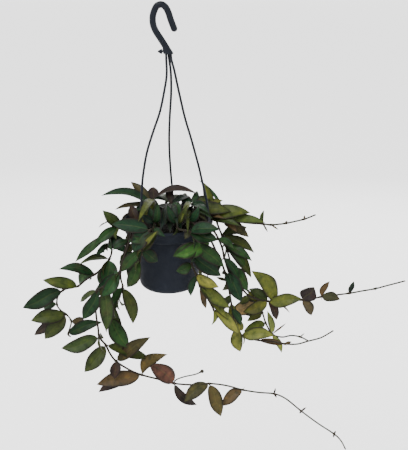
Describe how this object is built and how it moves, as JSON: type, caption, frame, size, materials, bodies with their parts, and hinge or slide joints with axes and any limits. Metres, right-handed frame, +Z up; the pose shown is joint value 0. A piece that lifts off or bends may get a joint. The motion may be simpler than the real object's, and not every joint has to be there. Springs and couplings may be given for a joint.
{
  "type": "hanging potted hoya plant",
  "caption": "Hanging plastic pot on a hook with three strands, filled with soil and a trailing hoya whose leafy vines hang over the rim and reach out to both sides.",
  "frame": {"origin": "seat of the hook: the top of its inner bend, where it rests on a rail or a ceiling hook", "axes": "+Z up, from the pot to the hook; +X to the right and -Y towards the viewer, with the longest vines reaching out along X"},
  "size_m": [0.6613, 0.2161, 0.8162],
  "materials": {
    "hanger_plastic": "satin moulded plastic, near black",
    "clip_plastic": "matte grey plastic",
    "pot_plastic": "satin moulded plastic, dark blue grey",
    "soil": "crumbly dark potting soil",
    "foliage": "waxy leaves from dark green to olive and brown, on thin brown stems"
  },
  "bodies": {
    "root": {"hook": "hanger_plastic", "strand_back": "hanger_plastic", "strand_left": "hanger_plastic", "strand_right": "hanger_plastic", "rim_clip_back": "clip_plastic", "rim_clip_left": "clip_plastic", "rim_clip_right": "clip_plastic", "pot": "pot_plastic", "soil": "soil", "vine_far_left": "foliage", "vine_long": "foliage", "vine_left_front": "foliage", "vine_left_rim": "foliage", "shoot_crown_left": "foliage", "shoot_crown_middle": "foliage", "shoot_crown_right": "foliage", "shoot_crown_back": "foliage", "vine_right_upper": "foliage", "vine_far_right": "foliage", "vine_right_back": "foliage", "vine_right_low": "foliage", "vine_right_rim": "foliage", "vine_back_left": "foliage", "vine_back_mid_left": "foliage", "vine_back_middle": "foliage", "vine_back_mid_right": "foliage", "vine_back_right": "foliage"}
  },
  "joints": []
}
